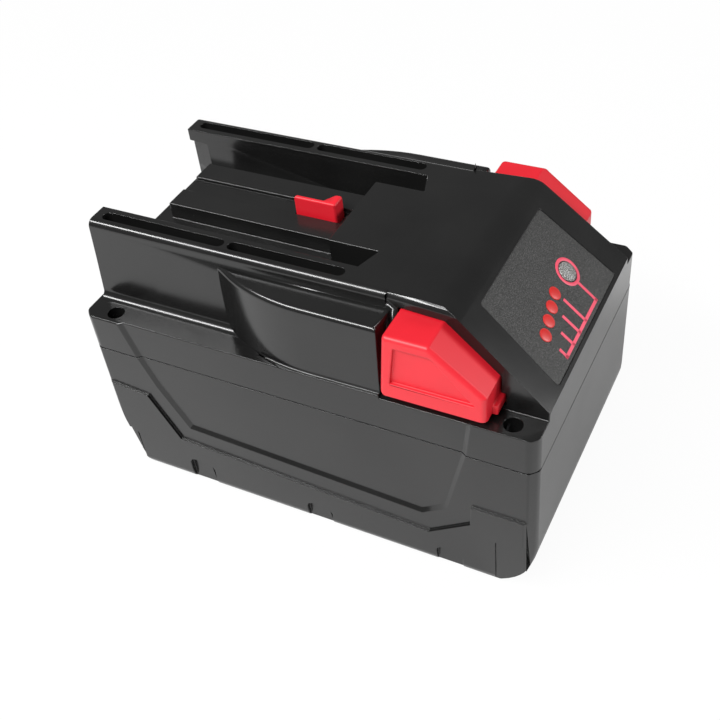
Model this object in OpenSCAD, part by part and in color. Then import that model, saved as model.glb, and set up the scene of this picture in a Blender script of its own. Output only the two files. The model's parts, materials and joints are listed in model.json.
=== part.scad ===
// Slide-on battery pack for a cordless power tool.
// X runs along the pack with the charge gauge at +X, Y across it, Z up from the flat bottom.
// The case is worked out from the cell stack, and the tower on top from the slide rails.

/* [Cells] */
// Diameter of one cell
cell_d = 18.3; // [17.5:0.1:18.6]
// Length of one cell
cell_len = 65; // [60:0.5:68]
// Free space between neighbouring cells
cell_gap = 0.6; // [0.4:0.1:1.2]
// Height of a cell's positive nub
cell_nub = 0.6; // [0.3:0.1:1]
// Depth of cell held by each holder
holder_grip = 12.5; // [8:0.5:16]
// Thickness of the bus bars
bus_t = 0.3; // [0.2:0.05:0.6]

/* [Case] */
// Wall thickness of the shells
wall = 2.6; // [2:0.1:3]
// Room between the end cells and the outside of the case
end_room = 9.35; // [8.5:0.1:14]
// Room between the cells' ends and the outside of the case
side_room = 12.7; // [11.5:0.1:18]
// Room between the top of the cells and the ledge
top_room = 7.4; // [6.8:0.1:12]
// Height of the ledge above the parting line
skirt_h = 13; // [12:0.5:18]
// Chamfer on the upright corners
corner_c = 2.5; // [1:0.1:4]
// Radius of the bottom corner at the gauge end
front_r = 20; // [14:0.5:21]
// Radius of the bottom corner at the rear end
rear_r = 9; // [4:0.5:10]
// Amount that the rear end leans in towards the bottom
rear_taper = 6.5; // [2:0.25:6.75]
// Height at which the rear end starts to lean in
taper_z = 39; // [30:1:45]
// Depth of the sunk panel on each side
panel_depth = 1; // [0.4:0.1:1.4]
// Width of the sunk panel's sloping edge
panel_edge = 1.4; // [0.4:0.1:2]
// Radius of the long bottom edges
bottom_r = 3.6; // [2:0.1:6]
// Height of the groove along the parting line
seam_gap = 0.35; // [0.2:0.05:0.6]
// Amount that the bumper band stands proud of the side
bumper_t = 0.9; // [0.4:0.1:1.5]
// Depth of the bottom notches behind the side
notch_depth = 0.7; // [0.3:0.1:1]
// Depth of the shallow pockets at the bottom corners
corner_pocket = 0.5; // [0.2:0.1:0.9]
// Diameter of the case screw holes in the ledge
screw_hole_d = 5.4; // [5.2:0.1:6.4]

/* [Slide rails] */
// Free width between the two rails
rail_gap = 47.7; // [46:0.1:52]
// Width of a rail at its top
rail_w = 8.55; // [8:0.05:10]
// Amount that a rail widens towards the ledge
rail_draft = 1.9; // [0.5:0.1:3]
// Height of the rails above the ledge
rail_h = 27.4; // [26.5:0.1:32]
// Width of the long slots in the rail tops
slot_w = 3.6; // [3:0.1:3.8]
// Depth of the long slots
slot_depth = 20; // [10:0.5:22]
// Height of the lip at the open end of each rail
lip_h = 4.4; // [3:0.1:6]
// Height of the channel floor above the ledge
floor_h = 7; // [5.5:0.1:8]
// Width of the block between the channels
base_w = 31.6; // [30:0.1:34]
// Width of the platform on that block
platform_w = 24; // [20:0.1:26]
// Depth of the platform below the rail tops
platform_drop = 3.1; // [2:0.1:4]
// Depth of the block's shoulder below the rail tops
base_drop = 8.4; // [7:0.1:9]

/* [Hood] */
// Length of the hood, from the crease to the gauge end
hood_l = 48.3; // [46:0.1:54]
// Length of the sloping face along X
slope_l = 29.5; // [26:0.1:32]
// Height of the slope's lower end above the ledge
slope_foot = 2.5; // [1:0.1:4]
// Rise of the hood above the rail tops
hood_rise = 0.7; // [0.2:0.1:2]
// Amount that the hood widens towards the ledge
hood_draft = 2.6; // [2:0.1:5]
// Amount that the hood widens from the crease to the bend
hood_flare = 1.2; // [0:0.1:2]
// Radius of the bend between the hood's top and the slope
bend_r = 12; // [3:0.5:14]
// Height of the side bulges above the ledge
bulge_h = 22.7; // [18:0.1:24]
// Reach of the bulges from the middle of the pack
bulge_y = 43.2; // [42:0.1:44.5]
// Amount that the bulges lean in at the top
bulge_lean = 1.4; // [0:0.1:2]

/* [Release] */
// Travel of the release buttons and of the latch
travel = 5.5; // [4:0.1:5.6]
// Length of a release button along X
button_l = 31.9; // [28:0.1:32]
// Height of a release button
button_h = 22.2; // [18:0.1:22.4]
// Reach of the button faces from the middle of the pack
button_y = 45; // [43.5:0.1:46]
// Depth of the sill in the ledge under a button
sill_depth = 1; // [0.4:0.1:1.4]
// Lean of a button's rear edge
button_lean = 2.2; // [0:0.1:3]
// Length of the foot tab at a button's front end
foot_l = 1.6; // [1:0.1:2]
// Gap around a button in its opening
button_gap = 0.4; // [0.3:0.05:0.6]
// Length of the latch hook
hook_l = 14; // [10:0.1:16]
// Width of the latch hook
hook_w = 5.3; // [4:0.1:6]
// Height of the hook above the rail tops
hook_rise = 2.3; // [1:0.1:2.6]
// Gap around the latch in its slot
hook_gap = 0.45; // [0.3:0.05:0.7]
// Wire thickness of the springs
spring_wire = 0.7; // [0.4:0.05:0.8]
// Outer diameter of the springs
spring_d = 6; // [4.5:0.1:6.4]

/* [Gauge] */
// Depth of the recess for the label
label_recess = 0.7; // [0.5:0.05:1]
// Thickness of the label
label_t = 0.5; // [0.3:0.05:0.6]
// Diameter of the gauge lamps
lamp_d = 4.2; // [2.5:0.1:4.4]
// Distance between the gauge lamps
lamp_pitch = 5.1; // [4.6:0.1:5.6]
// Diameter of the gauge push button
push_d = 6.4; // [4:0.1:7]
// Travel of the gauge push button
push_travel = 0.5; // [0.3:0.05:0.6]
// Thickness of the boards
board_t = 1.6; // [1:0.1:1.8]

/* [Hidden] */
$fn = 48;
cols = 7;
rows = 3;
cell_pitch = cell_d + cell_gap;
case_l = cols * cell_pitch + 2 * end_room;
case_w = cell_len + 2 * side_room;
x_front = case_l / 2;
x_rear = -case_l / 2;
cell_z0 = wall + cell_gap / 2 + cell_pitch / 2;
stack_top = wall + cell_gap / 2 + rows * cell_pitch;
ledge_z = stack_top + top_room;
seam_z = ledge_z - skirt_h;
tower_z = ledge_z + rail_h;
holder_top = stack_top + 1;
board_top = holder_top + board_t;
fit = 0.1;

rail_y = rail_gap / 2;
rail_out = rail_y + rail_w;
rail_x0 = x_rear + 1;
floor_z = ledge_z + floor_h;
base_z = tower_z - base_drop;
platform_z = tower_z - platform_drop;
base_x0 = x_rear + 12;
platform_x0 = x_rear + 17;
hood_x = x_front - hood_l;
step_x = hood_x - 26.3;
groove_y = 3.6;
groove_depth = 1.1;

hood_z = tower_z + hood_rise;
bend_x = x_front - slope_l;
slope_a = atan2(hood_z - ledge_z - slope_foot, slope_l);
slope_len = norm([slope_l, hood_z - ledge_z - slope_foot]);

button_x0 = hood_x + 1.9;
button_z0 = ledge_z + 1.6;
button_z1 = button_z0 + button_h;
button_x1 = button_x0 + button_l;
button_bend_x = button_x0 + 15.7;
button_low_z = button_z0 + 9;
button_in = rail_out - 2.8;
foot_y0 = rail_out + 2.2;
foot_y1 = foot_y0 + 6;
foot_h = 3.2;
hook_x1 = step_x - 4.4;
hook_x0 = hook_x1 - hook_l;
hook_z = tower_z + hook_rise;
beam_h = 5;
beam_z = platform_z - 13.3;
beam_y = 3;
cam_h = travel + 1;
cam_gap = 0.3;
head_x0 = hood_x + 13.5;
head_x1 = head_x0 + 7;
head_y = 8;
arm_z0 = beam_z + beam_h - cam_h;
spring_x = hood_x + 9.3;
spring_z = ledge_z + 9;
seat_y = 14;
plate_z0 = ledge_z - 1;
plate_t = 2;
plate_x0 = hood_x + 4;
plate_x1 = x_front - 13.5;
plate_y = 26;
leg_w = 4;

boss_x = [x_rear + 10, x_front - 8.5];
boss_y = case_w / 2 - 4.4;
boss_r = 4;
screw_r = 1.5;
screw_seat_z = seam_z + 4;

label_u0 = 6.6;
label_u1 = slope_len - 1.4;
label_hw0 = 23.4;
label_hw1 = 25.8;
label_r = 1.2;
lamp_u = 23.8;
lamp_step_u = 1.2;
lamp_y = 0.8;
push_u = 24;
push_y = 11.6;
gauge_board_w = wall + 2.2;
gauge_u0 = 13;
gauge_u1 = slope_len - 3.5;
gauge_hw = 19;
gauge_posts = [[gauge_u0 + 2.5, 16], [gauge_u0 + 2.5, -16], [gauge_u1 - 2.5, 16], [gauge_u1 - 2.5, -16]];
contact_reach = base_w / 2 - wall - 3;
contact_y = [for (k = [-1, -0.35, 0.35, 1]) k * contact_reach];
leaf_l = 12.6;
leg_x = 15;
leg_t = 1;
strip_h = 1.4;
contact_z0 = floor_z + 1.6;
contact_h = 5.8;
block_x0 = base_x0 + wall + 0.3;
block_x1 = hook_x0 - 8.4;
board_screw_x = 2.5 * cell_pitch;
board_screw_y = cell_len / 2 - 6.5;
bar_w = 10;
tab_w = 5;

shell_black = "#1c1c1f";
signal_red = "#d81e2c";
cell_names = [for (r = [0:rows - 1], c = [0:cols - 1]) str("cell_", r + 1, "_", c + 1)];
left_bars = [[0, 0], [1, 2], [3, 4], [5, 6]];
right_bars = [[0, 1], [2, 3], [4, 5], [6, 6]];
left_names = [for (i = [0:3]) str("bus_bar_left_", i + 1)];
right_names = [for (i = [0:3]) str("bus_bar_right_", i + 1)];

function arc(cx, cy, r, a0, a1, n = 8) =
    [for (i = [0:n]) [cx + r * cos(a0 + (a1 - a0) * i / n), cy + r * sin(a0 + (a1 - a0) * i / n)]];

// Extrudes an XZ outline along Y, from y0 to y1
module along_y(y0, y1) translate([0, y1, 0]) rotate([90, 0, 0]) linear_extrude(y1 - y0) children();

// Extrudes a YZ outline along X, from x0 to x1
module along_x(x0, x1) translate([x0, 0, 0]) rotate([90, 0, 90]) linear_extrude(x1 - x0) children();

module both_sides() {
    children();
    mirror([0, 1, 0]) children();
}

// A box from its lowest to its highest corner
module block(a, b) translate(a) cube(b - a);

// The frame of the sloping face: X down the slope, Z out of it
module on_slope() translate([bend_x, 0, hood_z]) rotate([0, slope_a, 0]) children();

// Coil spring along Z from z = 0, made as one tube swept along a helix
module coil(length, d, wire, turns) {
    steps = turns * 8;
    sides = 6;
    r = (d - wire) / 2;
    run = length - wire;
    tilt = atan2(run / turns, 2 * PI * r);
    function ring(i) = let (a = 360 * i / 8, z = wire / 2 + run * i / steps) [for (k = [0:sides - 1])
        let (q = 360 * k / sides, o = wire / 2 * cos(q), n = wire / 2 * sin(q))
        [(r + o) * cos(a) + n * sin(tilt) * sin(a), (r + o) * sin(a) - n * sin(tilt) * cos(a),
         z + n * cos(tilt)]];
    points = [for (i = [0:steps]) each ring(i)];
    skin = [for (i = [0:steps - 1], k = [0:sides - 1]) let (m = (k + 1) % sides, a = i * sides, b = a + sides)
        each [[a + k, b + k, a + m], [a + m, b + k, b + m]]];
    caps = [for (k = [1:sides - 2]) each [[0, k, k + 1],
        [steps * sides, steps * sides + k + 1, steps * sides + k]]];
    polyhedron(points, concat(skin, caps));
}

// Side view of the case, moved in by inset
module side_profile(inset, top) polygon(concat(
    [[x_rear + inset, top], [x_rear + inset, taper_z]],
    arc(x_rear + rear_taper + rear_r, rear_r, rear_r - inset, 180, 270),
    arc(x_front - front_r, front_r, front_r - inset, 270, 360, 12),
    [[x_front - inset, top]]));

// Plan of the case, moved in by inset, or widened along its own corner chamfers
module plan(inset, widen = 0) {
    a = case_l / 2 - inset;
    b = case_w / 2 - inset + widen;
    c = max(0.3, corner_c - inset * (2 - sqrt(2)) + widen);
    polygon([[a - c, -b], [a, c - b], [a, b - c], [a - c, b], [c - a, b], [-a, b - c], [-a, c - b], [c - a, -b]]);
}

module screw_places() for (x = boss_x, sy = [-1, 1]) translate([x, sy * boss_y, 0]) children();

// Cross-section of the case with its rounded bottom edges, widened by widen
module case_section(widen) {
    half = case_w / 2 + widen;
    r = bottom_r + widen;
    polygon(concat([[half, seam_z], [-half, seam_z]], arc(r - half, r, r, 180, 270, 6), arc(half - r, r, r, 270, 360, 6)));
}

// Outline of the sunk panel, through both shells
module panel_outline() polygon([[x_rear + 13.7, ledge_z + 1], [x_rear + 18.2, seam_z - 0.5],
    [x_rear + 22.7, 42.6], [x_rear + 31.7, 27], [x_front - 36.1, 22.7], [x_front - 28, 28.2],
    [x_front - 21.3, seam_z + 0.6], [x_front - 19.6, ledge_z + 1]]);

// Outline of the proud bumper band, down to the bottom
module bumper_outline() polygon([[x_rear, -1], [x_rear, 39.2], [x_rear + 17.5, 37.4],
    [x_rear + 26.7, 20.2], [x_front - 33.8, 14.7], [x_front - 20, 24.6], [x_front - 19.5, 32.6],
    [x_front, 32.6], [x_front, -1]]);

// A bottom notch with rounded upper corners
module notch_outline(x0, x1, top, r = 2.5) polygon(concat([[x1, -1], [x0, -1]],
    arc(x0 + r, top - r, r, 180, 90, 5), arc(x1 - r, top - r, r, 90, 0, 5)));

// The sunk panel with its sloping edge
module side_panel_cut() both_sides() hull() {
    along_y(case_w / 2 - panel_depth, case_w / 2) offset(delta = -panel_edge / 2) panel_outline();
    along_y(case_w / 2, case_w / 2 + 1) offset(delta = panel_edge / 2) panel_outline();
}

module bumper() intersection() {
    both_sides() along_y(case_w / 2 - wall / 2, case_w / 2 + bumper_t) bumper_outline();
    along_y(-case_w, case_w) side_profile(0, seam_z);
    linear_extrude(seam_z) plan(0, bumper_t);
    along_x(x_rear, x_front) case_section(bumper_t);
}

// The notches in the bottom edge, and the shallow pockets at its corners
module notch_cuts() both_sides() {
    along_y(case_w / 2 - notch_depth, case_w / 2 + 5) {
        notch_outline(x_rear + 28, x_rear + 37.5, 11.5);
        notch_outline(-2, 7, 9.2);
        notch_outline(x_front - 31.5, x_front - 22.7, 9.2);
    }
    along_y(case_w / 2 + bumper_t - corner_pocket, case_w / 2 + 5) {
        notch_outline(x_rear - 3, x_rear + 8, 18);
        notch_outline(x_front - 12, x_front + 3, 22);
    }
}

// The groove that shows along the parting line
module seam_groove() translate([0, 0, seam_z - seam_gap]) linear_extrude(seam_gap + 1) difference() {
    plan(-1);
    plan(panel_depth + 0.7);
}

module lower_case() color(shell_black) difference() {
    union() {
        difference() {
            union() {
                intersection() {
                    linear_extrude(seam_z) plan(0);
                    along_y(-case_w / 2, case_w / 2) side_profile(0, seam_z);
                    along_x(x_rear, x_front) case_section(0);
                }
                bumper();
            }
            intersection() {
                translate([0, 0, wall]) linear_extrude(seam_z) plan(wall);
                along_y(-case_w, case_w) side_profile(wall, seam_z + 1);
            }
            side_panel_cut();
            notch_cuts();
            seam_groove();
        }
        screw_places() translate([0, 0, seam_z - 14]) cylinder(r = boss_r, h = 14);
    }
    screw_places() translate([0, 0, seam_z - 12]) cylinder(r = screw_r + fit / 2, h = 13);
}

// Section of one rail, with its rounded shoulder and its fillet to the ledge
module rail_section(shoulder_r = 2.5, foot_r = 3) {
    foot_y = rail_out + rail_draft;
    polygon(concat([[rail_y, ledge_z - 0.5], [rail_y, tower_z]],
        arc(rail_out - shoulder_r, tower_z - shoulder_r, shoulder_r, 90, 0, 6),
        arc(foot_y + foot_r, ledge_z + foot_r, foot_r, 180, 270, 6), [[foot_y + foot_r, ledge_z - 0.5]]));
}

// The block with the channel ends, from the step to the hood
module tongue() {
    ends = [[step_x, base_w / 2], [hood_x - 10, base_w / 2], [hood_x - 12.8, rail_y + 0.5], [hood_x + 1, rail_y + 0.5]];
    translate([0, 0, ledge_z - 0.5]) linear_extrude(rail_h + 0.5)
        polygon(concat(ends, [for (i = [3:-1:0]) [ends[i][0], -ends[i][1]]]));
}

// Side view of the hood, moved in by inset
module hood_profile(inset, low) {
    top = hood_z - inset;
    drop = inset / cos(slope_a);
    front = x_front - inset;
    rear = hood_x + inset;
    bend = bend_x + (inset - drop) / tan(slope_a);
    foot = hood_z - drop - (front - bend_x) * tan(slope_a);
    rise_a = atan2(hood_rise, bend_x - hood_x);
    r = bend_r - inset;
    reach = r * tan((slope_a + rise_a) / 2);
    turn_x = bend - reach * cos(rise_a) + r * sin(rise_a);
    turn_z = top - reach * sin(rise_a) - r * cos(rise_a);
    polygon(concat([[front, foot], [front, low], [rear, low], [rear, tower_z - inset]],
        arc(turn_x, turn_z, r, 90 + rise_a, 90 - slope_a, 6)));
}

// Cross-section of the hood, moved in by inset and widened at the top by flare
module hood_section(inset, low, flare, shoulder_r = 3) {
    out = rail_out + flare - inset;
    foot = rail_out + hood_flare + hood_draft - inset;
    top = hood_z - inset;
    r = max(0.4, shoulder_r - inset);
    polygon(concat([[-foot, low], [foot, low]],
        arc(out - r, top - r, r, 0, 90, 6), arc(r - out, top - r, r, 90, 180, 6)));
}

module hood_body(inset, low) {
    slice = 0.01;
    intersection() {
        along_y(-case_w, case_w) hood_profile(inset, low);
        union() {
            hull() {
                along_x(hood_x, hood_x + slice) hood_section(inset, low, 0);
                along_x(bend_x, bend_x + slice) hood_section(inset, low, hood_flare);
            }
            along_x(bend_x, x_front) hood_section(inset, low, hood_flare);
        }
    }
}

// Plan of one bulge: a flat arc that runs out of the rail and ends before the button
module bulge_outline() {
    x1 = hood_x + 1.1;
    flat_x = x1 - 24.3;
    r = 58.4;
    start = 180 - asin((rail_out - 2 - bulge_y + r) / r);
    polygon(concat(arc(flat_x, bulge_y - r, r, start, 90, 12), [[x1, bulge_y], [x1, rail_out - 2]]));
}

// Side view of a release button, grown by grow
module button_profile(grow) {
    lean = atan2(button_z1 - button_low_z, button_x1 - button_bend_x);
    polygon([[button_x0 - grow, button_z0 - grow], [button_x0 + button_lean - grow, button_z1 + grow],
        [button_bend_x + grow * tan(lean / 2), button_z1 + grow],
        [button_x1 + grow, button_low_z + grow * tan(45 - lean / 2)], [button_x1 + grow, button_z0 - grow]]);
}

module rail_slots() {
    spans = [[rail_x0 + 3.1, rail_x0 + 47], [rail_x0 + 48.5, hood_x - 14.7]];
    y = rail_y + 4.03;
    both_sides() for (s = spans) translate([0, y, tower_z - slot_depth]) linear_extrude(slot_depth + 1) {
        translate([s[0] + slot_w / 2, -slot_w / 2]) square([s[1] - s[0] - slot_w, slot_w]);
        for (x = [s[0] + slot_w / 2, s[1] - slot_w / 2]) translate([x, 0]) circle(d = slot_w);
    }
}

module label_outline(grow = 0) {
    r = label_r;
    polygon(concat(arc(label_u1 - r + grow, label_hw1 - r + grow, r, 0, 90, 5),
        arc(label_u0 + r - grow, label_hw0 - r + grow, r, 90, 180, 5),
        arc(label_u0 + r - grow, r - label_hw0 - grow, r, 180, 270, 5),
        arc(label_u1 - r + grow, r - label_hw1 - grow, r, 270, 360, 5)));
}

module lamp_places() for (i = [0:3]) translate([lamp_u + i * lamp_step_u, lamp_y - i * lamp_pitch, 0]) children();

module upper_outside() {
    translate([0, 0, seam_z]) linear_extrude(skirt_h) plan(0);
    both_sides() along_x(rail_x0, hood_x + 1) rail_section();
    block([rail_x0, -rail_y - 0.5, ledge_z - 0.5], [hood_x + 1, rail_y + 0.5, floor_z]);
    block([base_x0, -base_w / 2, ledge_z], [step_x + 1, base_w / 2, base_z]);
    block([platform_x0, -platform_w / 2, ledge_z], [step_x + 1, platform_w / 2, platform_z]);
    tongue();
    hood_body(0, ledge_z - 0.5);
    both_sides() translate([0, 0, ledge_z - 0.5])
        linear_extrude(bulge_h + 0.5, scale = [1, 1 - bulge_lean / bulge_y], slices = 1) bulge_outline();
}

module upper_inside() {
    low = seam_z - 1;
    translate([0, 0, low]) linear_extrude(skirt_h - wall + 1) plan(wall);
    block([rail_x0 + wall, wall - rail_y, low], [hood_x + wall + 1, rail_y - wall, floor_z - wall]);
    block([base_x0 + wall, wall - base_w / 2, low], [hood_x + wall + 1, base_w / 2 - wall, base_z - wall]);
    block([step_x + wall, wall - base_w / 2, low], [hood_x + wall + 1, base_w / 2 - wall, tower_z - wall]);
    hood_body(wall, low);
}

module upper_cuts() {
    hook_slot_y = hook_w / 2 + hook_gap;
    rail_slots();
    both_sides() block([rail_x0 - 1, rail_y - 1, floor_z], [rail_x0 + 7.2, rail_y + 2.2, tower_z - lip_h]);
    block([platform_x0 - 1, -groove_y, platform_z - groove_depth], [step_x, groove_y, platform_z + 1]);
    block([hook_x0 - hook_gap, -hook_slot_y, base_z - wall - 1], [hook_x1 + hook_gap, hook_slot_y, platform_z + 1]);
    both_sides() {
        along_y(button_in - 2 - travel - button_gap, case_w / 2 - 5) button_profile(button_gap);
        block([button_x0 - 2 * button_gap, foot_y1 - 2, ledge_z - sill_depth], [x_front - 20, case_w / 2 + 1, ledge_z + 1]);
        block([button_x1, foot_y0 - travel - button_gap, button_z0 - button_gap],
            [button_x1 + foot_l + button_gap, case_w / 2, button_z0 + foot_h + button_gap]);
    }
    for (y = contact_y) block([base_x0 - 1, y - 1.3, contact_z0], [block_x0 + 1, y + 1.3, contact_z0 + contact_h]);
    on_slope() {
        translate([0, 0, -label_recess]) linear_extrude(5) label_outline(fit);
        lamp_places() translate([0, 0, -wall - 1]) cylinder(d = lamp_d + 0.4, h = wall + 2);
        translate([push_u, push_y, -wall - 1]) cylinder(d = push_d + 0.4, h = wall + 2);
        for (p = gauge_posts) translate([p[0], p[1], -gauge_board_w - 1]) cylinder(r = 0.85, h = gauge_board_w - 1);
    }
    screw_places() {
        translate([0, 0, screw_seat_z]) cylinder(d = screw_hole_d, h = skirt_h);
        translate([0, 0, seam_z - 1]) cylinder(r = screw_r + 0.2, h = skirt_h);
    }
    side_panel_cut();
}

module upper_case() color(shell_black) difference() {
    union() {
        difference() {
            upper_outside();
            upper_inside();
        }
        screw_places() translate([0, 0, seam_z]) cylinder(r = boss_r, h = skirt_h - wall / 2);
        on_slope() for (p = gauge_posts) translate([p[0], p[1], -gauge_board_w])
            cylinder(r = 2.2, h = gauge_board_w - wall / 2);
    }
    upper_cuts();
}

module case_screws() color("#3a3a3e") screw_places() difference() {
    union() {
        translate([0, 0, screw_seat_z]) cylinder(r = 2.5, h = 2.4);
        translate([0, 0, seam_z - 10]) cylinder(r = screw_r, h = screw_seat_z - seam_z + 10.5);
    }
    translate([0, 0, screw_seat_z + 1]) cylinder(r = 1.3, h = 3, $fn = 6);
}

// The button at +Y: a prism through the hood's side, with lugs, a spring seat and the cam arm
module release_button() color(signal_red) {
    lug_y = button_in - 2;
    difference() {
        union() {
            along_y(lug_y, button_y) button_profile(0);
            block([button_x0 + 6, lug_y, button_z1 - 2], [button_bend_x - 1, button_in, button_z1 + 1]);
            block([button_x1 - 2, lug_y, button_z0 + 5], [button_x1 + 1.2, button_in, button_z0 + 8.5]);
            block([button_x1 - 1, foot_y0, button_z0], [button_x1 + foot_l, foot_y1, button_z0 + foot_h]);
        }
        along_y(button_y - 1.1, button_y + 1) polygon([[button_x0 + 3.6, button_z0 + 5.3],
            [button_x0 + 5.6, button_z1 - 3.4], [button_bend_x + 0.6, button_z1 - 3.4],
            [button_x1 - 3.2, button_z0 + 5.3]]);
    }
    along_x(head_x0 + 1, head_x1 - 1) polygon([[lug_y + 1, arm_z0], [head_y + cam_h + cam_gap, arm_z0],
        [head_y + cam_gap, arm_z0 + cam_h], [head_y + cam_gap, arm_z0 + cam_h + 3],
        [lug_y + 1, arm_z0 + cam_h + 3]]);
}

module release_button_left() release_button();
module release_button_right() mirror([0, 1, 0]) release_button();

// The hook has a full-height rib on one side and a ramp beside it
module latch() color(signal_red) {
    rib_y = -hook_w / 2 + 1.45;
    ramp_z = hook_z - 3.5;
    block([hook_x0, -hook_w / 2, beam_z], [hook_x1, rib_y, hook_z]);
    along_y(rib_y, hook_w / 2) polygon([[hook_x0, beam_z], [hook_x0, ramp_z], [hook_x0 + 0.45 * hook_l, ramp_z],
        [hook_x0 + 0.85 * hook_l, hook_z], [hook_x1, hook_z], [hook_x1, beam_z]]);
    block([hook_x0, -beam_y, beam_z], [head_x1, beam_y, beam_z + beam_h]);
    along_x(head_x0, head_x1) polygon([[-head_y - cam_h, arm_z0], [head_y + cam_h, arm_z0],
        [head_y, arm_z0 + cam_h], [-head_y, arm_z0 + cam_h]]);
}

module latch_bracket() color("#2b2b30") {
    plate_top = plate_z0 + plate_t;
    difference() {
        block([plate_x0, -plate_y, plate_z0], [plate_x1, plate_y, plate_top]);
        translate([spring_x, 0, plate_z0 - 1]) cylinder(r = 1.5, h = 4);
    }
    for (x = [plate_x0 + 1, plate_x1 - leg_w - 2], y = [1 - plate_y, plate_y - leg_w - 1])
        block([x, y, board_top], [x + leg_w, y + leg_w, plate_z0 + 0.1]);
    both_sides() {
        block([spring_x - 3.2, seat_y - 2, plate_top - 0.1], [spring_x + 3.2, seat_y, spring_z + spring_d / 2 + 1.5]);
        block([plate_x0, beam_y + 0.4, plate_top - 0.1], [plate_x0 + 2, beam_y + 2.6, beam_z + beam_h + 3]);
    }
}

module latch_spring() color("silver") translate([spring_x, 0, plate_z0 + plate_t])
    coil(beam_z - plate_z0 - plate_t, spring_d, spring_wire, 5);

module button_spring() translate([spring_x, seat_y, spring_z]) rotate([-90, 0, 0])
    coil(button_in - 2 - seat_y, spring_d, spring_wire, 6);
module button_spring_left() color("silver") button_spring();
module button_spring_right() color("silver") mirror([0, 1, 0]) button_spring();

module contact_space(y, side, grow) {
    top = contact_z0 + contact_h + grow;
    strip_top = contact_z0 + strip_h + grow;
    leg_end = block_x0 + leg_x + leg_t + grow;
    block([block_x0 - grow, y - side, contact_z0 - grow], [block_x0 + leaf_l + grow, y + side, top]);
    block([block_x0 + leaf_l - 0.6, y - side, contact_z0 - grow], [leg_end, y + side, strip_top]);
    block([block_x0 + leg_x - grow, y - side, board_top - grow], [leg_end, y + side, strip_top]);
}

module terminal_block() color("#34343a") difference() {
    block([block_x0, 0.2 + wall - base_w / 2, board_top], [block_x1, base_w / 2 - wall - 0.2, base_z - wall - 0.2]);
    for (y = contact_y) contact_space(y, 1.3, 0.2);
}

// A forked contact: two leaves for the tool's blade, and a leg down to the board
module contact(y) color("goldenrod") difference() {
    contact_space(y, 1.1, 0);
    block([block_x0 - 1, y - 0.5, contact_z0 - 1], [block_x0 + leaf_l - 1.6, y + 0.5, contact_z0 + contact_h + 1]);
}

module contact_positive() contact(contact_y[0]);
module contact_negative() contact(contact_y[3]);
module signal_contacts() for (i = [1, 2]) contact(contact_y[i]);

module board_screw_places() for (sx = [-1, 1], sy = [-1, 1])
    translate([sx * board_screw_x, sy * board_screw_y, 0]) children();

module control_board() color("#14532d") difference() {
    block([4 - x_front + wall + 4.9, -cell_len / 2, holder_top], [x_front - wall - 8.9, cell_len / 2, board_top]);
    board_screw_places() translate([0, 0, holder_top - 1]) cylinder(r = 1.1, h = board_t + 2);
}

module board_components() color("#222226") {
    for (x = [-14, -6, 2, 10], y = [-13, 13]) block([x - 2.8, y - 3.2, board_top], [x + 2.8, y + 3.2, board_top + 1.2]);
    block([-6, -5, board_top], [4, 5, board_top + 1.6]);
    for (y = [-8, 8]) translate([20, y, board_top]) cylinder(r = 2.8, h = 5.5);
    block([22, -4, board_top], [26, 4, board_top + 4]);
}

module board_screws() color("silver") board_screw_places() difference() {
    union() {
        translate([0, 0, board_top]) cylinder(r = 2, h = 1.2);
        translate([0, 0, board_top - 5.5]) cylinder(r = 1, h = 5.6);
    }
    translate([0, 0, board_top + 0.5]) cylinder(r = 0.9, h = 1, $fn = 6);
}

function cell_x(c) = (c - (cols - 1) / 2) * cell_pitch;
function cell_z(r) = cell_z0 + r * cell_pitch;

// One cell across the pack, with its nub at the side that its column faces
module cell(r, c) color("#2f6f8f") translate([cell_x(c), 0, cell_z(r)]) rotate([c % 2 == 0 ? 90 : -90, 0, 0]) {
    translate([0, 0, -cell_len / 2]) cylinder(d = cell_d, h = cell_len - cell_nub);
    translate([0, 0, cell_len / 2 - cell_nub - 0.1]) cylinder(r = 3.2, h = cell_nub + 0.1);
}

// A holder grips the cells' ends. Its posts stand between the bus bars and reach the case's wall
module cell_holder(post_columns) color("#4a4d52") {
    y1 = cell_len / 2;
    half_l = cols * cell_pitch / 2 + 0.4;
    difference() {
        along_y(y1 - holder_grip, y1) intersection() {
            side_profile(wall + 0.2, holder_top);
            translate([-half_l, wall]) square([2 * half_l, holder_top - wall]);
        }
        for (r = [0:rows - 1], c = [0:cols - 1]) translate([cell_x(c), y1 + 1, cell_z(r)]) rotate([90, 0, 0])
            cylinder(d = cell_d + 2 * fit, h = holder_grip + 2);
        translate([board_screw_x, board_screw_y, board_top - 6]) cylinder(r = 1.05, h = 8);
        translate([-board_screw_x, board_screw_y, board_top - 6]) cylinder(r = 1.05, h = 8);
    }
    for (c = post_columns) block([cell_x(c) - 1, y1, wall], [cell_x(c) + 1, case_w / 2 - wall, holder_top]);
    block([-half_l + 9, y1, wall], [half_l - 16, case_w / 2 - wall, wall + 1]);
}

module cell_holder_left() cell_holder([0.5, 2.5, 4.5]);
module cell_holder_right() mirror([0, 1, 0]) cell_holder([1.5, 3.5, 5.5]);

// A bus bar joins all the cells of one or two columns, with a tab up to the board's edge
module bus_bar(span) color("silver") {
    y = cell_len / 2;
    x0 = cell_x(span[0]) - bar_w / 2;
    x1 = cell_x(span[1]) + bar_w / 2;
    mid = (x0 + x1) / 2;
    block([x0, y, cell_z(0) - bar_w / 2], [x1, y + bus_t, cell_z(rows - 1) + bar_w / 2]);
    block([mid - tab_w / 2, y, cell_z(rows - 1)], [mid + tab_w / 2, y + bus_t, board_top]);
}

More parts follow.
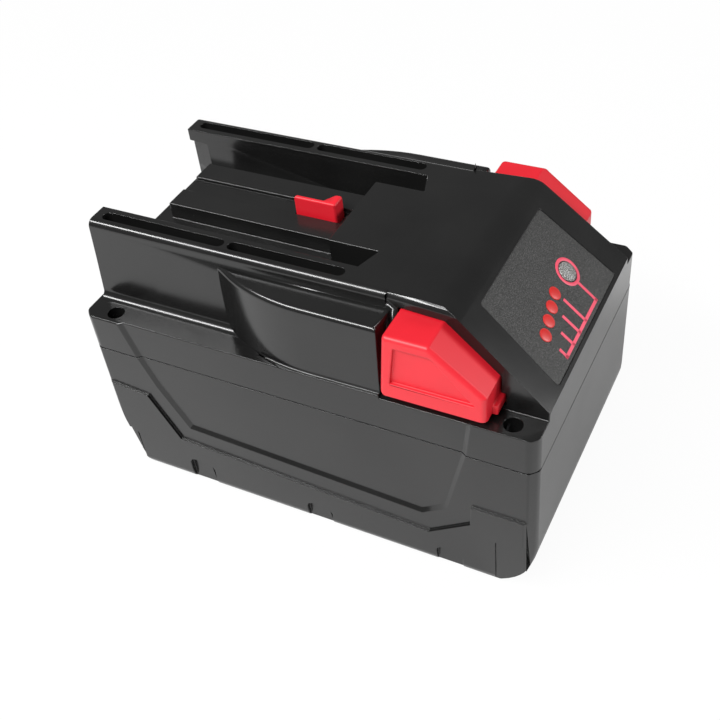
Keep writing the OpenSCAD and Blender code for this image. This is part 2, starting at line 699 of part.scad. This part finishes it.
module gauge_label() color("#55565a") on_slope() translate([0, 0, -label_recess]) linear_extrude(label_t)
    difference() {
        label_outline();
        lamp_places() circle(d = lamp_d + 0.2);
        translate([push_u, push_y]) circle(d = push_d + 0.4);
    }

module gauge_button() color("#77787c") on_slope() translate([push_u, push_y, 0]) {
    translate([0, 0, -wall - 0.3]) cylinder(d = push_d, h = wall + 0.5);
    translate([0, 0, -wall - 0.7]) cylinder(d = push_d + 1.8, h = 0.5);
}

module gauge_lamps() color(signal_red) on_slope() lamp_places()
    translate([0, 0, -gauge_board_w]) cylinder(d = lamp_d, h = gauge_board_w - 0.1);

module gauge_board() color("#14532d") on_slope() translate([0, 0, -gauge_board_w - board_t]) difference() {
    block([gauge_u0, -gauge_hw, 0], [gauge_u1, gauge_hw, board_t]);
    for (p = gauge_posts) translate([p[0], p[1], -1]) cylinder(r = 0.9, h = board_t + 2);
}

module gauge_switch() color("#2a2a2e") on_slope() translate([push_u, push_y, -gauge_board_w]) {
    block([-3, -3, 0], [3, 3, 0.6]);
    cylinder(r = 1.2, h = gauge_board_w - wall - 0.75 - push_travel);
}

module gauge_screws() color("silver") on_slope() for (p = gauge_posts) translate([p[0], p[1], 0]) {
    translate([0, 0, -gauge_board_w - board_t - 1]) cylinder(r = 1.6, h = 1);
    translate([0, 0, -gauge_board_w - board_t - 0.1]) cylinder(r = 0.8, h = board_t + 1.6);
}

lower_case();
upper_case();
case_screws();
release_button_left();
release_button_right();
latch();
latch_bracket();
latch_spring();
button_spring_left();
button_spring_right();
terminal_block();
contact_positive();
contact_negative();
signal_contacts();
control_board();
board_components();
board_screws();
cell_holder_left();
cell_holder_right();
gauge_label();
gauge_button();
gauge_lamps();
gauge_board();
gauge_switch();
gauge_screws();
for (i = [0:3]) bus_bar(left_bars[i]);
for (i = [0:3]) mirror([0, 1, 0]) bus_bar(right_bars[i]);
for (r = [0:rows - 1], c = [0:cols - 1]) cell(r, c);
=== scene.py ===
"""Studio scene of a slide-on battery pack: black two-part case, red latch and buttons, gauge label."""

import json
import math

import bmesh
import bpy
import numpy as np
from mathutils import Matrix, Vector


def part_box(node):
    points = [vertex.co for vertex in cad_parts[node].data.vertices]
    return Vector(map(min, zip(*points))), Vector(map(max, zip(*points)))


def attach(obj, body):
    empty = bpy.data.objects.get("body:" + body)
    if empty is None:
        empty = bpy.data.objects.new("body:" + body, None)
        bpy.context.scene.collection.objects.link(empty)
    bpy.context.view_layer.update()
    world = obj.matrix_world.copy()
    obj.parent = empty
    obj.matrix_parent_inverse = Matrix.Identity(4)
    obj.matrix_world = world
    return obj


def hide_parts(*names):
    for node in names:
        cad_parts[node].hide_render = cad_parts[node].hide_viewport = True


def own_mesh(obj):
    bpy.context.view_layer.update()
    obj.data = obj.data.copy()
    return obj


MM = 0.001

# Camera of the photograph: direction in degrees, aim offset and distance in mm, focal length in pixels
CAMERA_AZIMUTH = 31.551
CAMERA_ELEVATION = 42.632
CAMERA_ROLL = -7.277
CAMERA_OFFSET = (-0.008, -24.929)
CAMERA_DISTANCE = 334.847
CAMERA_FOCAL_PX = 1060.713
CAMERA_AIM = (0.5, 0.0, 67.0)
PICTURE_PX = 720
SENSOR_MM = 36.0

# Colours, linear
SHELL_BLACK = (0.0062, 0.0062, 0.0062, 1)
SHELL_SATIN = (0.0095, 0.0095, 0.0093, 1)
SIGNAL_RED = (0.720, 0.012, 0.026, 1)
SIGNAL_RED_DEEP = (0.620, 0.009, 0.019, 1)
PRINT_RED = (0.860, 0.085, 0.150, 1)
PRINT_RED_DEEP = (0.720, 0.055, 0.105, 1)
LAMP_RED = (0.620, 0.012, 0.010, 1)
LAMP_RED_DEEP = (0.540, 0.008, 0.006, 1)
LABEL_DARK = (0.010, 0.010, 0.010, 1)
LABEL_SPECK = (0.085, 0.085, 0.082, 1)
PUSH_DARK = (0.060, 0.060, 0.058, 1)
PUSH_SPECK = (0.620, 0.620, 0.600, 1)

# Edge radii in mm
EDGE_SEAM = 0.10
EDGE_FINE = 0.35
EDGE_LEDGE = 0.8
EDGE_CORNER = 1.2
EDGE_BULGE = 1.7
EDGE_SLOPE = 0.6
EDGE_BUTTON = 1.5
EDGE_HEEL = 2.2
WIDE = 1.3
EDGE_LEAST = 0.05
ROOM_SHARE = 0.42

# Least cosine of two directions that count as one
ALIGNED = 0.95
CLOSELY_ALIGNED = 0.995
SHARP_ANGLE = math.radians(30)

# Span of the rails' inner walls in mm, across and up
CHANNEL_Y = (20.0, 33.0)
CHANNEL_Z = (73.5, 90.0)

# Gauge marks in mm, measured from the middle of the push button, down the slope and across it
RING_INNER = 3.55
RING_OUTER = 4.65
MARK_W = 1.05
MARK_T = 0.08
BAR_DOWN = 12.0
BAR_ACROSS = (-0.3, -26.6)
TICK_FIRST = -10.1
TICK_STEP = -5.45
TICK_LENGTHS = (8.5, 6.4, 4.4, 2.5)
LENS_RISE = 0.22
DOME_RISE = 0.9
PUSH_FLANGE = 0.9

# Share of white shown to camera rays, and to glossy and transmission rays
FLOOR_SHARES = (0.95, 0.12)
WORLD_SHARES = (1.0, 0.05)

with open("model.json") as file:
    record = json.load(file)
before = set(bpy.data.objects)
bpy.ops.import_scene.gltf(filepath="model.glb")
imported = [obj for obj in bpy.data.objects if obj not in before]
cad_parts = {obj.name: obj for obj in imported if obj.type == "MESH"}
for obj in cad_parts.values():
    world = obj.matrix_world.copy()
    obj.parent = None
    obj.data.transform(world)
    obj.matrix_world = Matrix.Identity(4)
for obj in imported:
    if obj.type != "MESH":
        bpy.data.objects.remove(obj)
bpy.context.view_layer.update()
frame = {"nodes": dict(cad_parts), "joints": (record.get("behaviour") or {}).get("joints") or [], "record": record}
nodes = frame["nodes"]
joints = {j["name"]: j for j in frame["joints"]}


# Node groups and finishes


def new_group(name, inputs, outputs):
    """An empty shader node group with float inputs and float outputs."""
    group = bpy.data.node_groups.new(name, "ShaderNodeTree")
    for label, value in inputs:
        socket = group.interface.new_socket(label, in_out="INPUT", socket_type="NodeSocketFloat")
        socket.default_value = value
    for label in outputs:
        group.interface.new_socket(label, in_out="OUTPUT", socket_type="NodeSocketFloat")
    return group, group.nodes.new("NodeGroupInput"), group.nodes.new("NodeGroupOutput")


def span(tree, source, start, end, low=0.0, high=1.0):
    """Maps a socket's span from start to end onto low to high, and returns the socket."""
    node = tree.nodes.new("ShaderNodeMapRange")
    node.inputs["From Min"].default_value = start
    node.inputs["From Max"].default_value = end
    node.inputs["To Min"].default_value = low
    node.inputs["To Max"].default_value = high
    tree.links.new(source, node.inputs["Value"])
    return node.outputs["Result"]


def object_noise(tree, detail, scale):
    """Noise over the object's own coordinates, at the scale given by a socket."""
    place = tree.nodes.new("ShaderNodeTexCoord")
    noise = tree.nodes.new("ShaderNodeTexNoise")
    noise.inputs["Detail"].default_value = detail
    tree.links.new(place.outputs["Object"], noise.inputs["Vector"])
    tree.links.new(scale, noise.inputs["Scale"])
    return noise.outputs["Fac"]


def moulded_grain_group():
    """Moulded grain: a close noise as height and as specks, and a broad noise as uneven sheen."""
    group, given, out = new_group(
        "moulded_grain",
        [("Grain per metre", 2600.0), ("Sheen per metre", 38.0)],
        ["Height", "Sheen", "Speck"],
    )
    fine = object_noise(group, 3.0, given.outputs["Grain per metre"])
    broad = object_noise(group, 4.0, given.outputs["Sheen per metre"])
    group.links.new(fine, out.inputs["Height"])
    group.links.new(span(group, broad, 0.32, 0.68), out.inputs["Sheen"])
    group.links.new(span(group, fine, 0.46, 0.66), out.inputs["Speck"])
    return group


MOULDED_GRAIN = moulded_grain_group()


def finish(name, low, high, rough, grain=2600, relief=0.1, relief_mm=0.02, by="Sheen", metal=0.0):
    """A finish whose colour runs from low to high by a mask of the grain group.

    Roughness runs over its own span by the sheen, and the grain's height bends the surface."""
    material = bpy.data.materials.new(name)
    material.use_nodes = True
    tree = material.node_tree
    shader = tree.nodes["Principled BSDF"]
    moulded = tree.nodes.new("ShaderNodeGroup")
    moulded.node_tree = MOULDED_GRAIN
    moulded.inputs["Grain per metre"].default_value = grain
    colour = tree.nodes.new("ShaderNodeMix")
    colour.data_type = "RGBA"
    colour.inputs["A"].default_value = low
    colour.inputs["B"].default_value = high
    tree.links.new(moulded.outputs[by], colour.inputs["Factor"])
    tree.links.new(colour.outputs["Result"], shader.inputs["Base Color"])
    tree.links.new(span(tree, moulded.outputs["Sheen"], 0, 1, *rough), shader.inputs["Roughness"])
    bend = tree.nodes.new("ShaderNodeBump")
    bend.inputs["Strength"].default_value = relief
    bend.inputs["Distance"].default_value = relief_mm * MM
    tree.links.new(moulded.outputs["Height"], bend.inputs["Height"])
    tree.links.new(bend.outputs["Normal"], shader.inputs["Normal"])
    shader.inputs["Metallic"].default_value = metal
    return material


FINISH = {
    "shell": finish("black_shell", SHELL_BLACK, SHELL_SATIN, (0.17, 0.22), relief=0.06),
    "red": finish("red_moulding", SIGNAL_RED_DEEP, SIGNAL_RED, (0.40, 0.48), 2200, 0.12),
    "label": finish("label_film", LABEL_DARK, LABEL_SPECK, (0.55, 0.65), 3600, 0.8, 0.05, "Speck"),
    "print": finish("gauge_print", PRINT_RED_DEEP, PRINT_RED, (0.40, 0.50), 3600, 0.3, 0.03),
    "lamp": finish("lamp_lens", LAMP_RED_DEEP, LAMP_RED, (0.30, 0.40), 3000, 0.1),
    "push_rubber": finish("push_membrane", PUSH_DARK, PUSH_SPECK, (0.40, 0.5), 3600, 0.6, 0.05, "Speck"),
    "steel": finish("zinc_steel", (0.34, 0.34, 0.35, 1), (0.46, 0.46, 0.47, 1), (0.28, 0.42), metal=1.0),
    "inner_plastic": finish("inner_moulding", (0.03, 0.03, 0.032, 1), (0.04, 0.04, 0.043, 1), (0.45, 0.55)),
    "holder": finish("holder_moulding", (0.08, 0.085, 0.09, 1), (0.1, 0.105, 0.11, 1), (0.45, 0.55)),
    "contact": finish(
        "plated_contact", (0.62, 0.44, 0.17, 1), (0.74, 0.55, 0.24, 1), (0.22, 0.36), metal=1.0
    ),
    "board": finish("solder_mask", (0.012, 0.10, 0.04, 1), (0.02, 0.14, 0.06, 1), (0.3, 0.4), 900),
    "component": finish("component_resin", (0.018, 0.018, 0.02, 1), (0.03, 0.03, 0.032, 1), (0.45, 0.6)),
    "nickel": finish("nickel_strip", (0.5, 0.48, 0.44, 1), (0.62, 0.6, 0.56, 1), (0.25, 0.4), metal=1.0),
    "cell": finish("cell_sleeve", (0.02, 0.12, 0.2, 1), (0.03, 0.16, 0.26, 1), (0.25, 0.35), 700),
}


# Meshes


def add_piece(name, mesh, look, body):
    """Links a finished mesh as a piece that rides a body, with its finish and slot."""
    piece = bpy.data.objects.new(name, mesh)
    bpy.context.scene.collection.objects.link(piece)
    mesh.materials.clear()
    mesh.materials.append(FINISH[look])
    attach(piece, body)
    return piece


def grid_mesh(name, points, closed_u=False, closed_v=False):
    """A smooth quad mesh over points of shape (u, v, 3), joined round where closed, with doubles merged."""
    n_u, n_v = points.shape[:2]
    index = np.arange(n_u * n_v).reshape(n_u, n_v)
    u, v = np.meshgrid(
        np.arange(n_u if closed_u else n_u - 1), np.arange(n_v if closed_v else n_v - 1), indexing="ij"
    )
    u_next, v_next = (u + 1) % n_u, (v + 1) % n_v
    quads = np.stack([index[u, v], index[u_next, v], index[u_next, v_next], index[u, v_next]], -1)
    mesh = bpy.data.meshes.new(name)
    mesh.from_pydata(points.reshape(-1, 3).tolist(), [], quads.reshape(-1, 4).tolist())
    work = bmesh.new()
    work.from_mesh(mesh)
    bmesh.ops.remove_doubles(work, verts=work.verts, dist=1e-7)
    bmesh.ops.recalc_face_normals(work, faces=work.faces)
    work.to_mesh(mesh)
    work.free()
    mesh.shade_smooth()
    mesh.set_sharp_from_angle(angle=SHARP_ANGLE)
    return mesh


def in_channel(points):
    """True for points in mm on the inner walls of the two rails."""
    across, up = np.abs(points[..., 1]), points[..., 2]
    return (across > CHANNEL_Y[0]) & (across < CHANNEL_Y[1]) & (up > CHANNEL_Z[0]) & (up < CHANNEL_Z[1])


def merged_copy(node, apart=None):
    """A welded copy of a CAD node's mesh, with the triangles of each flat face joined.

    Edges whose two ends apart gives as true stay as they are."""
    mesh = nodes[node].data.copy()
    work = bmesh.new()
    work.from_mesh(mesh)
    bmesh.ops.remove_doubles(work, verts=work.verts, dist=2e-6)
    ends = np.array([[e.verts[0].co, e.verts[1].co] for e in work.edges]) / MM
    kept = apart(ends).all(1) if apart else np.zeros(len(ends), bool)
    joined = [e for e, stays in zip(work.edges, kept) if not stays]
    bmesh.ops.dissolve_limit(
        work, angle_limit=math.radians(0.6), verts=work.verts, edges=joined, delimit={"NORMAL"}
    )
    work.to_mesh(mesh)
    work.free()
    return mesh


def edge_facts(mesh):
    """Middle in mm, direction, face angle and room of every edge, as arrays.

    Room is the shortest length of the edges that meet at either end of the edge."""
    work = bmesh.new()
    work.from_mesh(mesh)
    ends = np.array([[e.verts[0].co, e.verts[1].co] for e in work.edges]) / MM
    index = np.array([[v.index for v in e.verts] for e in work.edges])
    angle = np.array([e.calc_face_angle(0.0) for e in work.edges])
    shortest = np.full(len(work.verts), np.inf)
    work.free()
    run = ends[:, 1] - ends[:, 0]
    length = np.linalg.norm(run, axis=1)
    np.minimum.at(shortest, index.ravel(), np.repeat(length, 2))
    return ends.mean(1), run / length[:, None], angle, shortest[index].min(1)


def rounded_piece(name, node, look, body, radii, segments=3, apart=None):
    """The CAD piece with its sharp edges rounded; radii gives each edge's radius in mm.

    A radius above WIDE keeps its size, and a smaller one gives way to the room at the edge's ends."""
    mesh = merged_copy(node, apart)
    middle, run, angle, room = edge_facts(mesh)
    radius = radii(middle, run)
    fitted = np.minimum(radius, np.maximum(ROOM_SHARE * room, EDGE_LEAST))
    sharp = (angle > SHARP_ANGLE) & (radius > 0)
    width = np.where(sharp, np.where(radius > WIDE, radius, fitted), 0.0)
    widest = float(width.max())
    weight = mesh.attributes.new("bevel_weight_edge", "FLOAT", "EDGE")
    weight.data.foreach_set("value", (width / widest).astype(np.float32))
    mesh.shade_smooth()
    piece = add_piece(name, mesh, look, body)
    bevel = piece.modifiers.new("rounding", "BEVEL")
    bevel.width = widest * MM
    bevel.segments = segments
    bevel.limit_method = "WEIGHT"
    bevel.use_clamp_overlap = False
    bevel.miter_outer = "MITER_ARC"
    flat = piece.modifiers.new("flat_faces_stay_flat", "WEIGHTED_NORMAL")
    flat.mode = "FACE_AREA"
    flat.weight = 100
    flat.keep_sharp = True
    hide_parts(node)
    return piece


# The two shells

lower_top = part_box("lower_case")[1].z / MM
shell_high = np.array(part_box("upper_case")[1]) / MM
push_out = -np.array(joints["gauge_press"]["axis"], float)
push_out /= np.linalg.norm(push_out)
slope_down = np.array([push_out[2], 0.0, -push_out[0]])

# Heights and distances from the middle plane in mm that tell the shell's edges apart
BULGE_TOP = 89.7
LEDGE_TOP = 67.0
RAIL_OUT = 33.6
HOOD_SIDE = 30.0
GROOVE = 0.4


def shell_radii(middle, run):
    """Radius of a shell edge: fine by default, wide on corners, bulges and slope, slight at the seam."""
    x, y, z = middle.T
    radius = np.full(len(x), EDGE_FINE)
    upright = np.abs(run[:, 2]) > ALIGNED
    at_corner = (np.abs(x) > shell_high[0] - 4) & (np.abs(y) > shell_high[1] - 4)
    radius[upright & at_corner & (z < LEDGE_TOP)] = EDGE_CORNER
    radius[(np.abs(z - LEDGE_TOP) < 0.1) & (np.abs(y) > RAIL_OUT + 6)] = EDGE_LEDGE
    radius[(np.abs(z - BULGE_TOP) < 0.1) & (np.abs(y) > RAIL_OUT)] = EDGE_BULGE
    radius[(np.abs(run @ slope_down) > CLOSELY_ALIGNED) & (np.abs(y) > HOOD_SIDE)] = EDGE_SLOPE
    radius[(z < lower_top + GROOVE) & ~upright] = EDGE_SEAM
    radius[in_channel(middle)] = 0
    return radius


rounded_piece("upper_shell", "upper_case", "shell", "pack", shell_radii, apart=in_channel)
rounded_piece("lower_shell", "lower_case", "shell", "pack", shell_radii)


# Buttons and latch


def button_radii(middle, run):
    """Wide radius where an edge of the outer face lies on its outline, fine elsewhere."""
    reach = np.abs(middle[:, 1])
    face = reach > reach.max() - 0.1
    side = np.stack([run[:, 2], -run[:, 0]], 1)
    heights = middle[face][:, [0, 2]] @ side.T
    own = (middle[:, [0, 2]] * side).sum(1)
    on_outline = (own > heights.max(0) - 0.2) | (own < heights.min(0) + 0.2)
    across = np.abs(run[:, 1]) > ALIGNED
    radius = np.where(face & on_outline, EDGE_BUTTON, EDGE_FINE)
    radius = np.where(across & (reach > RAIL_OUT), 0.7 * EDGE_BUTTON, radius)
    low = middle[face].min(0)
    heel = (middle[:, 0] < low[0] + 3) & (middle[:, 2] < low[2] + 1)
    return np.where(across & heel & (reach > RAIL_OUT), EDGE_HEEL, radius)


for side in ("left", "right"):
    rounded_piece(f"{side}_release", f"release_button_{side}", "red", f"{side}_button", button_radii, 4)
rounded_piece("latch_hook", "latch", "red", "latch", lambda middle, run: np.full(len(run), EDGE_LEDGE))


# Gauge face


def vertices(node):
    """All the vertices of a CAD node, as an array in metres."""
    mesh = nodes[node].data
    flat = np.empty(len(mesh.vertices) * 3, np.float32)
    mesh.vertices.foreach_get("co", flat)
    return flat.reshape(-1, 3).astype(float)


push_points = vertices("gauge_button")
label_level = (vertices("gauge_label") @ push_out).max()
push_down = np.mean([(push_points @ slope_down).min(), (push_points @ slope_down).max()])
push_across = np.mean([push_points[:, 1].min(), push_points[:, 1].max()])
push_floor = (push_points @ push_out).min()


def on_gauge(down, across, out):
    """Points in metres from mm down the slope, across it and out of the label.

    All three are measured from the push button's middle on the label's face."""
    down, across, out = np.broadcast_arrays(down, across, out)
    return (
        (push_down + down * MM)[..., None] * slope_down
        + (push_across + across * MM)[..., None] * np.array([0.0, 1.0, 0.0])
        + (label_level + out * MM)[..., None] * push_out
    )


def turned(name, look, body, radius, height, down=0.0, across=0.0, steps=64):
    """A surface of revolution on the label.

    A profile of radius and height in mm is turned about the slope's normal."""
    turn = np.linspace(0, 2 * np.pi, steps, endpoint=False)[:, None]
    radius, height = np.asarray(radius, float)[None], np.asarray(height, float)[None]
    points = on_gauge(down + radius * np.cos(turn), across + radius * np.sin(turn), height + 0 * turn)
    return add_piece(name, grid_mesh(name, points, closed_u=True), look, body)


def dome_profile(radius, rise, foot, steps=10):
    """Radius and height of a quarter ellipse, then a straight wall down to foot and its floor."""
    t = np.linspace(0, 1, steps) * np.pi / 2
    return np.append(radius * np.sin(t), [radius, 0.0]), np.append(rise * np.cos(t), [foot, foot])


def strip(name, start, end):
    """A printed strip between two points of the gauge face: a rounded bar section swept along the line."""
    start, end = np.array(start, float), np.array(end, float)
    along = (end - start) / np.linalg.norm(end - start)
    across = np.array([-along[1], along[0]])
    reach = MARK_W / 2
    section = np.array([(-reach, -MARK_T), (-reach, 0.6 * MARK_T), (-0.9 * reach, MARK_T),
                        (0.9 * reach, MARK_T), (reach, 0.6 * MARK_T), (reach, -MARK_T)])
    first, last = start - along * reach, end + along * reach
    ends = np.array([first, first, last, last])
    grow = np.array([0.0, 1.0, 1.0, 0.0])[:, None]
    flat = ends[:, None] + (section[:, 0] * grow)[..., None] * across
    points = on_gauge(flat[..., 0], flat[..., 1], section[:, 1] * grow)
    return add_piece(name, grid_mesh(name, points, closed_v=True), "print", "pack")


push_radius = np.ptp(push_points[:, 1]) / MM / 2
stem = push_radius - PUSH_FLANGE
profile = dome_profile(stem, DOME_RISE, (push_floor - label_level) / MM)
push = turned("push_dome", "push_rubber", "gauge_push", *profile)
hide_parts("gauge_button")

turn = np.linspace(0, 2 * np.pi, 9)
band, middle_r = (RING_OUTER - RING_INNER) / 2, (RING_OUTER + RING_INNER) / 2
turned("gauge_ring", "print", "pack", middle_r + band * np.cos(turn), MARK_T * np.sin(turn))
strip("gauge_leader", (RING_OUTER, BAR_ACROSS[0]), (BAR_DOWN, BAR_ACROSS[0]))
strip("gauge_bar", (BAR_DOWN, BAR_ACROSS[0]), (BAR_DOWN, BAR_ACROSS[1]))
for i, length in enumerate(TICK_LENGTHS):
    place = TICK_FIRST + i * TICK_STEP
    strip(f"gauge_tick_{i + 1}", (BAR_DOWN - length, place), (BAR_DOWN, place))

lamp_points = vertices("gauge_lamps")
lamp_faces = lamp_points[(lamp_points @ push_out) > (lamp_points @ push_out).max() - 1e-5]
lamp_order = np.argsort(lamp_faces[:, 1])
lamp_groups = np.split(lamp_order, np.where(np.diff(lamp_faces[lamp_order, 1]) > 0.5 * MM)[0] + 1)
for i, group in enumerate(lamp_groups):
    ring = lamp_faces[group]
    down = ((ring @ slope_down).min() + (ring @ slope_down).max()) / 2 - push_down
    across = (ring[:, 1].min() + ring[:, 1].max()) / 2 - push_across
    radius = np.ptp(ring[:, 1]) / MM / 2
    lens = dome_profile(radius, LENS_RISE, -0.3)
    turned(f"lamp_lens_{i + 1}", "lamp", "pack", *lens, down / MM, across / MM, 32)


# Springs


def coil_spring(name, node, body, axis, anchor_end, turns, wire=0.7):
    """A round wire swept along a helix in the CAD spring's box, with open ends.

    The helix rises evenly with its turn."""
    low, high = (np.array(c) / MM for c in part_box(node))
    middle = (low + high) / 2
    others = [i for i in range(3) if i != axis]
    radius = (high[others[0]] - low[others[0]] - wire) / 2
    t = np.linspace(0, 1, turns * 24 + 1)
    angle = 2 * np.pi * turns * t
    rise = low[axis] + wire / 2 + (high[axis] - low[axis] - wire) * t
    round_wire = np.linspace(0, 2 * np.pi, 10, endpoint=False)
    points = np.empty((len(t), len(round_wire), 3))
    reach = radius + wire / 2 * np.cos(round_wire)[None]
    points[..., others[0]] = middle[others[0]] + reach * np.cos(angle)[:, None]
    points[..., others[1]] = middle[others[1]] + reach * np.sin(angle)[:, None]
    points[..., axis] = rise[:, None] + wire / 2 * np.sin(round_wire)[None]
    piece = add_piece(name, grid_mesh(name, points * MM, closed_v=True), "steel", body)
    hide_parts(node)
    anchor = middle * MM
    anchor[axis] = (low if anchor_end == "low" else high)[axis] * MM
    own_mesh(piece)


coil_spring("left_spring_coil", "button_spring_left", "pack", 1, "low", 6)
coil_spring("right_spring_coil", "button_spring_right", "pack", 1, "high", 6)
coil_spring("latch_spring_coil", "latch_spring", "pack", 2, "low", 5)


# Pieces shown as they come from the frame

for part in frame["record"]["subparts"]:
    shown = nodes[part["node"]]
    shown.data.materials.clear()
    shown.data.materials.append(FINISH[part["material_slot"]])


# Camera, light and stage


def view_axes():
    """Right, up and back of the photograph's camera, from its azimuth, elevation and roll."""
    azimuth, elevation, roll = np.radians([CAMERA_AZIMUTH, CAMERA_ELEVATION, CAMERA_ROLL])
    back = np.array([
        np.sin(azimuth) * np.cos(elevation), -np.cos(azimuth) * np.cos(elevation), np.sin(elevation)
    ])
    right = np.array([np.cos(azimuth), np.sin(azimuth), 0.0])
    up = np.cross(back, right)
    turn, lean = np.cos(roll), np.sin(roll)
    return np.stack([turn * right + lean * up, turn * up - lean * right, back])


def add_camera():
    """The photograph's camera: its aim point is offset in the picture's plane and backed off."""
    axes = view_axes()
    place = axes.T @ np.array([*CAMERA_OFFSET, CAMERA_DISTANCE]) + np.array(CAMERA_AIM)
    data = bpy.data.cameras.new("photo_camera")
    data.sensor_width = SENSOR_MM
    data.lens = CAMERA_FOCAL_PX / PICTURE_PX * SENSOR_MM
    data.clip_start = 0.01
    data.clip_end = 50
    camera = bpy.data.objects.new("photo_camera", data)
    camera.matrix_world = Matrix.Translation(Vector(place * MM)) @ Matrix(axes.T.tolist()).to_4x4()
    bpy.context.scene.collection.objects.link(camera)
    bpy.context.scene.camera = camera


def add_softbox(name, place, size, power):
    """A rectangular lamp at place, turned to the middle of the pack, all in metres."""
    data = bpy.data.lights.new(name, "AREA")
    data.shape = "RECTANGLE"
    data.size, data.size_y = size
    data.energy = power
    lamp = bpy.data.objects.new(name, data)
    lamp.location = place
    lamp.rotation_euler = (Vector((0, 0, 0.06)) - Vector(place)).to_track_quat("-Z", "Y").to_euler()
    bpy.context.scene.collection.objects.link(lamp)


def show_white(tree, plain, white, camera_share, glossy_share):
    """Mixes white into a shader by a share of camera rays and a share of glossy and transmission rays."""
    path = tree.nodes.new("ShaderNodeLightPath")
    mix = tree.nodes.new("ShaderNodeMixShader")
    total = None
    for ray, share in (("Is Camera Ray", camera_share), ("Is Glossy Ray", glossy_share),
                       ("Is Transmission Ray", glossy_share)):
        part = tree.nodes.new("ShaderNodeMath")
        part.operation = "MULTIPLY_ADD"
        part.inputs[1].default_value = share
        part.inputs[2].default_value = 0.0
        tree.links.new(path.outputs[ray], part.inputs[0])
        if total is not None:
            tree.links.new(total, part.inputs[2])
        total = part.outputs[0]
    tree.links.new(total, mix.inputs["Fac"])
    tree.links.new(plain, mix.inputs[1])
    tree.links.new(white, mix.inputs[2])
    return mix.outputs[0]


def add_floor():
    """A wide pale floor that the camera sees as near white, with the pack's soft shadow on it."""
    half = 3.0
    mesh = bpy.data.meshes.new("floor")
    corners = [(-half, -half, 0), (half, -half, 0), (half, half, 0), (-half, half, 0)]
    mesh.from_pydata(corners, [], [(0, 1, 2, 3)])
    floor = bpy.data.objects.new("floor", mesh)
    bpy.context.scene.collection.objects.link(floor)
    material = bpy.data.materials.new("pale_floor")
    material.use_nodes = True
    tree = material.node_tree
    shader = tree.nodes["Principled BSDF"]
    shader.inputs["Base Color"].default_value = (0.86, 0.86, 0.86, 1)
    shader.inputs["Roughness"].default_value = 0.9
    shader.inputs["Specular IOR Level"].default_value = 0.0
    white = tree.nodes.new("ShaderNodeEmission")
    shown = show_white(tree, shader.outputs[0], white.outputs[0], *FLOOR_SHARES)
    tree.links.new(shown, tree.nodes["Material Output"].inputs["Surface"])
    mesh.materials.append(material)


def add_world():
    """A dim studio above the floor, shown white to the camera."""
    world = bpy.data.worlds.new("studio")
    bpy.context.scene.world = world
    world.use_nodes = True
    tree = world.node_tree
    dim = tree.nodes["Background"]
    dim.inputs["Color"].default_value = (0.20, 0.20, 0.20, 1)
    white = tree.nodes.new("ShaderNodeBackground")
    white.inputs["Color"].default_value = (1, 1, 1, 1)
    shown = show_white(tree, dim.outputs[0], white.outputs[0], *WORLD_SHARES)
    tree.links.new(shown, tree.nodes["World Output"].inputs["Surface"])


add_camera()
add_floor()
add_world()
add_softbox("front_left_softbox", (-0.28, -0.56, 0.84), (1.1, 0.15), 16)
add_softbox("right_softbox", (0.88, 0.42, 0.42), (0.36, 0.28), 4.5)
bpy.context.scene.view_settings.view_transform = "Standard"
